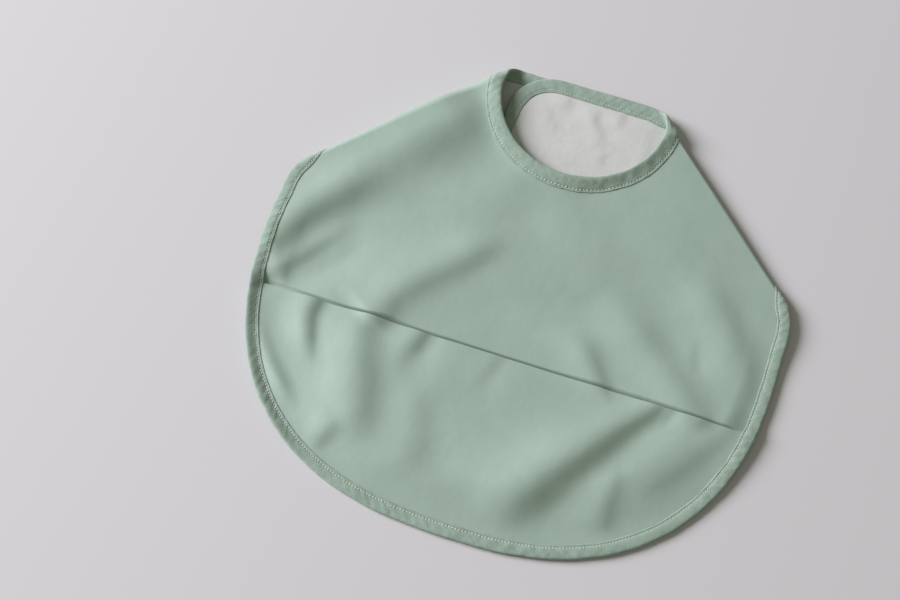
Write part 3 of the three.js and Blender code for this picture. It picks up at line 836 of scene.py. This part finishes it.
class Finish:
    """A material, and short names for the few shader nodes that the finishes are made of."""

    def __init__(self, name, colour, roughness, specular=0.5, sheen=0.0):
        self.made = bpy.data.materials.new(name)
        self.made.use_nodes = True
        self.made.diffuse_color = (*colour, 1.0)
        self.tree = self.made.node_tree
        self.shader = self.tree.nodes["Principled BSDF"].inputs
        self.shader["Base Color"].default_value = (*colour, 1.0)
        self.shader["Roughness"].default_value = roughness
        self.shader["Specular IOR Level"].default_value = specular
        self.shader["Sheen Weight"].default_value = sheen
        self.shader["Sheen Roughness"].default_value = 0.6

    def add(self, kind, inputs, **settings):
        """A node with its settings, and its inputs given as numbers or as other nodes' outputs."""
        node = self.tree.nodes.new(kind)
        for key, value in settings.items():
            setattr(node, key, value)
        for socket, value in inputs.items():
            if isinstance(value, bpy.types.NodeSocket):
                self.tree.links.new(value, node.inputs[socket])
            else:
                node.inputs[socket].default_value = value
        return node.outputs

    def coordinates(self, source, scale=(1, 1, 1), turn=0.0):
        """source is UV, along the cloth and its threads, or Object, through the room."""
        where = self.add("ShaderNodeTexCoord", {})[source]
        inputs = {"Vector": where, "Scale": scale, "Rotation": (0, 0, turn)}
        return self.add("ShaderNodeMapping", inputs)["Vector"]

    def noise(self, where, scale, detail=2.0, rough=0.5, distortion=0.0):
        inputs = {"Vector": where, "Scale": scale, "Detail": detail, "Roughness": rough}
        return self.add("ShaderNodeTexNoise", inputs | {"Distortion": distortion})["Fac"]

    def wave(self, where, scale, axis, distortion):
        inputs = {"Vector": where, "Scale": scale, "Distortion": distortion, "Detail Scale": 1.0}
        return self.add("ShaderNodeTexWave", inputs, wave_type="BANDS", bands_direction=axis)["Fac"]

    def math(self, kind, a, b):
        return self.add("ShaderNodeMath", {0: a, 1: b}, operation=kind)[0]

    def weave(self, where, scale, distortion, kind="ADD"):
        """Warp and weft threads together."""
        return self.math(kind, *(self.wave(where, scale, axis, distortion) for axis in "XY"))

    def ramp(self, value, low, high):
        """A colour from a value; low and high are each a position and a screen colour."""
        output = self.add("ShaderNodeValToRGB", {"Fac": value})["Color"]
        for element, (position, colour) in zip(output.node.color_ramp.elements, (low, high)):
            element.position = position
            element.color = (*linear(*colour), 1.0)
        return output

    def span(self, value, low, high):
        """A texture's usual values, 0.3 to 0.7, spread between two others."""
        inputs = {"Value": value, "From Min": 0.3, "From Max": 0.7, "To Min": low, "To Max": high}
        return self.add("ShaderNodeMapRange", inputs)["Result"]

    def bump(self, height, distance, strength, over=None):
        inputs = {"Height": height, "Distance": distance, "Strength": strength}
        if over is not None:
            inputs["Normal"] = over
        return self.add("ShaderNodeBump", inputs)["Normal"]

    def wire(self, colour, roughness, normal):
        for socket, output in (("Base Color", colour), ("Roughness", roughness), ("Normal", normal)):
            self.tree.links.new(output, self.shader[socket])
        return self.made


def coated_face():
    """Matt polyurethane over a fine polyester weave: soft satin sheen, faint grain and rubbed patches."""
    n = Finish("coated_face", linear(160, 182, 171), 0.5, specular=0.42)
    flat, cloth = n.coordinates("Object"), n.coordinates("UV")
    tone = n.ramp(n.noise(flat, 26, detail=3), (0.3, (150, 175, 163)), (0.7, (157, 182, 170)))
    smears = n.noise(flat, 60, detail=4, distortion=0.6)
    fine = n.bump(n.weave(cloth, 900, 0.4), 0.00002, 0.5)
    fine = n.bump(n.noise(cloth, 1500), 0.00003, 0.6, over=fine)
    return n.wire(tone, n.span(smears, 0.43, 0.56), n.bump(n.noise(flat, 90), 0.0006, 0.35, over=fine))


def white_reverse():
    """The plain white polyester back: a fine open weave, soft and matt."""
    n = Finish("white_reverse", linear(200, 200, 197), 0.8, specular=0.3, sheen=0.15)
    flat = n.coordinates("Object")
    tone = n.ramp(n.noise(flat, 40, detail=3), (0.3, (195, 201, 199)), (0.7, (202, 209, 207)))
    fine = n.bump(n.weave(n.coordinates("UV"), 640, 0.5), 0.00006, 0.6)
    soft = n.bump(n.noise(flat, 110, detail=3), 0.0008, 0.4, over=fine)
    return n.wire(tone, n.span(n.noise(flat, 70), 0.74, 0.86), soft)


def binding():
    """Woven bias tape: its threads run slantwise to its edge, over soft puckers."""
    n = Finish("binding", linear(148, 169, 157), 0.82, specular=0.28, sheen=0.25)
    flat, slant = n.coordinates("Object"), n.coordinates("UV", turn=math.radians(45))
    blotches = n.noise(flat, 120, detail=4)
    threads = n.weave(slant, 520, 0.8)
    shade = n.math("ADD", n.math("MULTIPLY", blotches, 0.8), n.math("MULTIPLY", threads, 0.1))
    tone = n.ramp(shade, (0.35, (136, 161, 147)), (0.65, (152, 177, 164)))
    fine = n.bump(threads, 0.00009, 0.7)
    fine = n.bump(n.noise(slant, 900, detail=3), 0.00008, 0.5, over=fine)
    soft = n.bump(n.noise(flat, 260, detail=3), 0.0007, 0.5, over=fine)
    return n.wire(tone, n.span(blotches, 0.75, 0.9), soft)


def thread():
    """Twisted polyester sewing thread, a little lighter than the tape."""
    n = Finish("thread", linear(200, 214, 205), 0.6, specular=0.4, sheen=0.1)
    ply = n.wave(n.coordinates("UV", scale=(1, 0.6, 1), turn=math.radians(35)), 900, "X", 0.3)
    tone = n.ramp(ply, (0.2, (186, 202, 192)), (0.8, (212, 224, 216)))
    worn = n.span(n.noise(n.coordinates("Object"), 700), 0.5, 0.7)
    return n.wire(tone, worn, n.bump(ply, 0.00008, 0.8))


def hook_tape():
    """Nylon tape with rows of small hooks."""
    n = Finish("hook_tape", linear(222, 220, 214), 0.5, specular=0.5)
    cloth = n.coordinates("UV")
    rows = n.weave(cloth, 330, 0.3, "MULTIPLY")
    tone = n.ramp(rows, (0.1, (196, 194, 188)), (0.6, (230, 228, 223)))
    return n.wire(tone, n.span(n.noise(cloth, 800), 0.42, 0.6), n.bump(rows, 0.0006, 0.9))


def loop_tape():
    """Nylon tape with a soft tangled pile."""
    n = Finish("loop_tape", linear(216, 215, 209), 0.95, specular=0.2, sheen=0.5)
    pile = n.noise(n.coordinates("UV"), 900, detail=5, rough=0.7, distortion=1.2)
    tone = n.ramp(pile, (0.3, (196, 195, 189)), (0.7, (224, 223, 218)))
    return n.wire(tone, n.span(pile, 0.88, 1.0), n.bump(pile, 0.0006, 0.9))


COATED, REVERSE, BINDING, THREAD = coated_face(), white_reverse(), binding(), thread()
HOOK, LOOP = hook_tape(), loop_tape()
for node in frame["nodes"].values():
    node.data.materials.clear()
    node.data.materials.append(BINDING)


# ---------------------------------------------------------------- where the pieces part

ON_FRONT, ON_FOLD, ON_WING = 0, 1, 2
FOLDS = (LEFT, RIGHT)
SIDE_NAMES = ("left", "right")
EDGE_FOLD = np.where(EDGE[:, 0] < 0, 0, 1)
EDGE_H = np.empty(len(EDGE))
for side, fold in enumerate(FOLDS):
    mine = EDGE_FOLD == side
    EDGE_H[mine] = fold.split(EDGE[mine, 0], EDGE[mine, 1])[1]
EDGE_WIDTH = tape_width(EDGE_RUN)
EDGE_FRONT = (EDGE_H > 0).astype(float)


def zone(x, y):
    """Whether a pattern point is on the front, a fold or a wing; and its side, 0 left or 1 right."""
    side = (np.asarray(x) >= 0).astype(int)
    kind = np.zeros(side.shape, int)
    for k, fold in enumerate(FOLDS):
        mine = side == k
        t, h = fold.split(np.asarray(x)[mine], np.asarray(y)[mine])
        low = -math.pi * fold.roll(t)[2] - PIECE_GAP
        kind[mine] = np.where(h > PIECE_GAP, ON_FRONT, np.where(h > low, ON_FOLD, ON_WING))
    return kind, side


def station_zones():
    """Each station of tape lies wholly on the front or a wing, or belongs to a fold's piece."""
    kinds = []
    for part in (0.0, 0.5, 1.0):
        at = EDGE + EDGE_INWARD * (EDGE_WIDTH * part + 0.5)[:, None]
        kinds.append(zone(at[:, 0], at[:, 1])[0])
    kinds = np.array(kinds)
    same = (kinds[0] == kinds[1]) & (kinds[1] == kinds[2])
    return np.where(same, kinds[0], ON_FOLD)


def runs(labels):
    """The stretches of a closed loop with one label: (label, indices), each reaching one past its end."""
    starts = [k for k in range(len(labels)) if labels[k] != labels[k - 1]]
    found = []
    for a, b in zip(starts, starts[1:] + [starts[0] + len(labels)]):
        found.append((labels[a], np.arange(a, b + 1) % len(labels)))
    return found


FOLD_RUN = (-40, 200)  # the stretch along a fold line that has rows of points across the roll
ROW_PITCH = 2.4


def roll_rows(fold):
    """Rows of pattern points across one fold, close together where the cloth is curved."""
    ts = np.arange(*FOLD_RUN, ROW_PITCH)
    girth = math.pi * fold.roll(ts)[2]
    depths = [np.full(ts.shape, h) for h in (PIECE_GAP, PIECE_GAP / 2)]
    depths += [-girth * step for step in np.linspace(0, 1, 13)]
    depths += [-girth - h for h in (PIECE_GAP / 2, PIECE_GAP)]
    return [np.stack(fold.plan(ts, h), axis=1) for h in depths]


def clear_of_folds(points):
    keep, margin = np.ones(len(points), bool), PIECE_GAP + 1.6
    for fold in FOLDS:
        t, h = fold.split(points[:, 0], points[:, 1])
        near = (h < margin) & (h > -math.pi * fold.roll(t)[2] - margin)
        keep &= ~(near & (t > FOLD_RUN[0] - 5) & (t < FOLD_RUN[1] + 2))
    return keep


def cloth_size(fold, flat_points, triangles):
    """The pattern box of a piece of cloth, and its area, in metres; along the fold if there is one."""
    at = flat_points[np.unique(triangles)]
    if fold is not None:
        at = np.stack(fold.split(at[:, 0], at[:, 1]), axis=1)
    size = np.ptp(at, axis=0)
    area = min(flat_area(flat_points, triangles), size[0] * size[1])
    return (float(size[0] * MM), float(size[1] * MM)), float(area * MM * MM)


def hold(piece, kind, side):
    """The front's pieces ride the front and a wing's its wing; a fold's piece is only baked in place, on no
    body.
    """
    fold = FOLDS[side]
    if kind == ON_FRONT:
        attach(piece, "front")
    elif kind == ON_WING:
        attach(piece, fold.body)
    else:
        down = np.cross(fold.axis, np.append(fold.inward, 0.0))
        down *= -np.sign(down[2])
        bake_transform(piece)


# Rows of points along the mouth, above and below it, and the band around it that the even net stays out
# of: for the groove of the front, and for the pocket's hem.
GROOVE_ROWS, GROOVE_BAND = (-1.4, -0.3, 0.3, 0.8, 1.3, 1.9, 2.5, 3.1, 3.8, 4.8, 6.2), (-2.6, 7.6)
HEM_ROWS, HEM_BAND = (-0.7, 0.0, 0.24, 0.47, 0.71, 0.94, 1.18, 1.41, 2.2), (-1.6, 3.2)
GROOVE_REACH = 182
BODY_PITCH, POCKET_PITCH, POCKET_EDGE_PITCH = 3.0, 2.4, 2.2


def mouth_rows(xs, steps):
    return [np.stack([xs, np.full(xs.shape, MOUTH_Y + step)], axis=1) for step in steps]


def off_mouth(points, band):
    return (points[:, 1] < MOUTH_Y + band[0]) | (points[:, 1] > MOUTH_Y + band[1])


def build_cloth():
    """The body's one pattern, cut into the front, two folds and two wings: {name: (piece, size, area)}."""
    groove = mouth_rows(np.arange(-GROOVE_REACH, GROOVE_REACH, ROW_PITCH), GROOVE_ROWS)
    points, triangles = triangulated(
        EDGE + EDGE_INWARD * CLOTH_SETBACK,
        BODY_PITCH,
        roll_rows(LEFT) + roll_rows(RIGHT) + groove,
        lambda net: clear_of_folds(net) & off_mouth(net, GROOVE_BAND),
    )
    centres = points[triangles].mean(1)
    kinds, sides = zone(centres[:, 0], centres[:, 1])
    parts = [("front_cloth", ON_FRONT, 0, kinds == ON_FRONT)]
    for side, name in enumerate(SIDE_NAMES):
        for kind, part in ((ON_FOLD, "fold"), (ON_WING, "wing")):
            parts.append((f"{name}_{part}_cloth", kind, side, (kinds == kind) & (sides == side)))
    made = {}
    for name, kind, side, mine in parts:
        piece = cloth_piece(name, points, triangles[mine], surface, [COATED, REVERSE])
        hold(piece, kind, side)
        fold = None if kind == ON_FRONT else FOLDS[side]
        made[name] = (piece, *cloth_size(fold, points, triangles[mine]))
    return made


def build_pocket():
    """The pocket: the bib's own edge below the mouth, with a hem above it that turns under."""
    top = MOUTH_Y + MOUTH_HEM
    low = EDGE + EDGE_INWARD * POCKET_SETBACK
    low = low[(low[:, 1] < MOUTH_Y - 0.6) & (EDGE_H > 0)]
    low = low[np.argsort(np.arctan2(low[:, 0], -(low[:, 1] - MOUTH_Y)))]
    half = float(low[-1][0])
    rise = [tuple(low[-1]), (half, MOUTH_Y), (half - 0.6, MOUTH_Y + 1.0), (half - 4.5, top - 0.5)]
    rise = resampled(rise, POCKET_EDGE_PITCH)[1:]
    across = resampled([(half - 5, top), (5 - half, top)], POCKET_EDGE_PITCH)
    fall = rise[::-1] * [-1, 1]
    outline = np.concatenate([low, rise, across, fall[:-1]])
    rows = mouth_rows(np.arange(-half, half, POCKET_EDGE_PITCH), HEM_ROWS)
    points, triangles = triangulated(outline, POCKET_PITCH, rows, lambda net: off_mouth(net, HEM_BAND))
    piece = cloth_piece("pocket_cloth", points, triangles, pocket_surface, [COATED, REVERSE])
    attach(piece, "front")
    return (piece, *cloth_size(None, points, triangles))


PATCH_PITCH, PATCH_ROUND, PATCH_SEAM = 0.8, 0.5, 1.5
PATCH_YS = (-74, -56.5)
HOOK_XS, LOOP_XS = (12, 38), (2, 52)


def patch(name, reach, level, thickness, made_of, body):
    """A small sewn patch with soft corners, on a grid fine enough for its cushioned edge."""
    xs, ys = (np.linspace(a, b, int((b - a) / PATCH_PITCH)) for a, b in (reach, PATCH_YS))
    nx, ny = len(xs), len(ys)
    gx, gy = np.meshgrid(xs, ys, indexing="ij")
    edge = np.minimum.reduce([gx - xs[0], xs[-1] - gx, gy - ys[0], ys[-1] - gy])
    rise = np.sqrt(np.clip(edge / PATCH_ROUND, 0, 1))
    seam = -0.25 * bell(edge - PATCH_SEAM, 0.4)
    top_level = level + thickness * (0.2 + 0.8 * rise + seam)
    top = np.stack([gx, gy, top_level], axis=-1).reshape(-1, 3)
    base = np.stack([gx, gy, np.full(gx.shape, level)], axis=-1).reshape(-1, 3)
    count = nx * ny
    index = np.arange(count).reshape(nx, ny)
    corners = [index[:-1, :-1], index[1:, :-1], index[1:, 1:], index[:-1, 1:]]
    quads = np.stack(corners, axis=-1).reshape(-1, 4)
    border = np.concatenate([index[:, 0], index[-1, 1:], index[-2::-1, -1], index[0, -2:0:-1]])
    onward = np.roll(border, -1)
    walls = np.stack([border, border + count, onward + count, onward], axis=-1)
    faces = quads.tolist() + (quads[:, ::-1] + count).tolist() + walls.tolist()
    uvs = np.concatenate([top[:, :2], base[:, :2]])
    piece = add_mesh(name, np.concatenate([top, base]), faces, [made_of], uvs)
    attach(piece, body)
    return piece


def build_trim():
    """The tape and thread of the whole edge, cut into pieces where its zones change."""
    made = {}
    for label, keep in runs(station_zones().tolist()):
        middle = EDGE[keep[len(keep) // 2]]
        side = int(middle[0] >= 0)
        if label == ON_FRONT:
            name = "outer_tape_front" if middle[1] < WIDEST_Y else "neck_tape_front"
        elif label == ON_WING:
            name = f"{SIDE_NAMES[side]}_wing_tape"
        else:
            name = f"{SIDE_NAMES[side]}_{'outer' if middle[1] < -NECK_DEPTH else 'neck'}_tape_fold"
        tape = tape_piece(name, keep, BINDING)
        row = stitch_row(name.replace("tape", "stitches"), keep, THREAD)
        for piece, slot_name in ((tape, "binding_tape"), (row, "thread")):
            hold(piece, label, side)
        made[name] = (tape, row)
    return made


def build_patches():
    """The closure between the lapped wings: hooks on the lower wing, loops on the upper one."""
    low_face = TABLE_LEVEL + CLOTH / 2
    high_face = LAP_LEVEL - CLOTH / 2
    hook = patch("hook_patch_piece", HOOK_XS, low_face, HOOK_THICKNESS, HOOK, "left_wing")
    loop = patch("loop_patch_piece", LOOP_XS, high_face, -LOOP_THICKNESS, LOOP, "right_wing")
    return {"left_wing_cloth": [hook], "right_wing_cloth": [loop]}


def build_floor():
    mesh = bpy.data.meshes.new("floor")
    reach = 3.0
    corners = [(-reach, -reach, 0), (reach, -reach, 0), (reach, reach, 0), (-reach, reach, 0)]
    mesh.from_pydata(corners, [], [(0, 1, 2, 3)])
    mesh.materials.append(Finish("floor", linear(203, 207, 210), 0.9, specular=0.15).made)
    floor = placed("floor", mesh)


def aimed(name, data, place, target):
    """A lamp or a camera at a place, pointed at a target."""
    made = placed(name, data)
    made.location = place
    made.rotation_mode = "QUATERNION"
    made.rotation_quaternion = (target - place).to_track_quat("-Z", "Y")
    return made


def build_light():
    """One large soft window far off to the left, low, and a warm dim room around."""
    elevation, distance = math.radians(28), 5.0
    level = Vector((-0.995, 0.08, 0.0)).normalized() * math.cos(elevation)
    window = bpy.data.lights.new("window", "AREA")
    window.shape, window.size, window.energy = "DISK", 2.6, 415
    window.color = (1.0, 0.93, 0.985)
    aimed("window", window, (level + Vector((0, 0, math.sin(elevation)))) * distance, Vector())
    world = bpy.data.worlds.new("room")
    world.use_nodes = True
    background = world.node_tree.nodes["Background"]
    background.inputs["Color"].default_value = (0.93, 0.87, 0.71, 1)
    background.inputs["Strength"].default_value = 0.27
    bpy.context.scene.world = world
    bpy.context.scene.view_settings.view_transform = "Standard"


def build_camera():
    target, distance = Vector((-0.044, -0.0166, 0.0)), 0.875
    azimuth, elevation = math.radians(18.4), math.radians(70)
    level = Vector((math.sin(azimuth), -math.cos(azimuth), 0)) * math.cos(elevation)
    data = bpy.data.cameras.new("camera")
    data.lens, data.sensor_width, data.clip_start, data.clip_end = 50, 36, 0.01, 20
    place = target + (level + Vector((0, 0, math.sin(elevation)))) * distance
    bpy.context.scene.camera = aimed("camera", data, place, target)


# The CAD's nodes that each piece stands for.
REPLACED = {
    "front_cloth": ["front_panel"],
    "pocket_cloth": ["pocket_panel"],
    "left_wing_cloth": ["left_wing_panel"],
    "right_wing_cloth": ["right_wing_panel", "right_wing_tip_panel"],
    "hook_patch_piece": ["hook_patch", "hook_patch_stitching"],
    "loop_patch_piece": ["loop_patch", "loop_patch_stitching"],
    "left_wing_tape": ["left_wing_binding"],
    "left_wing_stitches": ["left_wing_stitching"],
    "right_wing_tape": [f"right_wing_{part}_binding" for part in ("neck", "outer", "tip")],
    "right_wing_stitches": [f"right_wing_{part}_stitching" for part in ("neck", "outer", "tip")],
}
for edge in ("outer", "neck"):
    REPLACED[f"{edge}_tape_front"] = [f"{edge}_binding_front"]
    REPLACED[f"{edge}_stitches_front"] = [f"{edge}_stitching_front"]
    for side in SIDE_NAMES:
        REPLACED[f"{side}_{edge}_tape_fold"] = [f"{side}_{edge}_binding_fold"]
for side in SIDE_NAMES:
    REPLACED[f"{side}_fold_cloth"] = [f"{side}_shoulder_fold"]

build_camera()
build_light()
build_floor()
cloths = build_cloth()
pocket, pocket_size, pocket_area = build_pocket()
trim = build_trim()
patch_on = build_patches()
for name, nodes in REPLACED.items():
    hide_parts(*nodes)
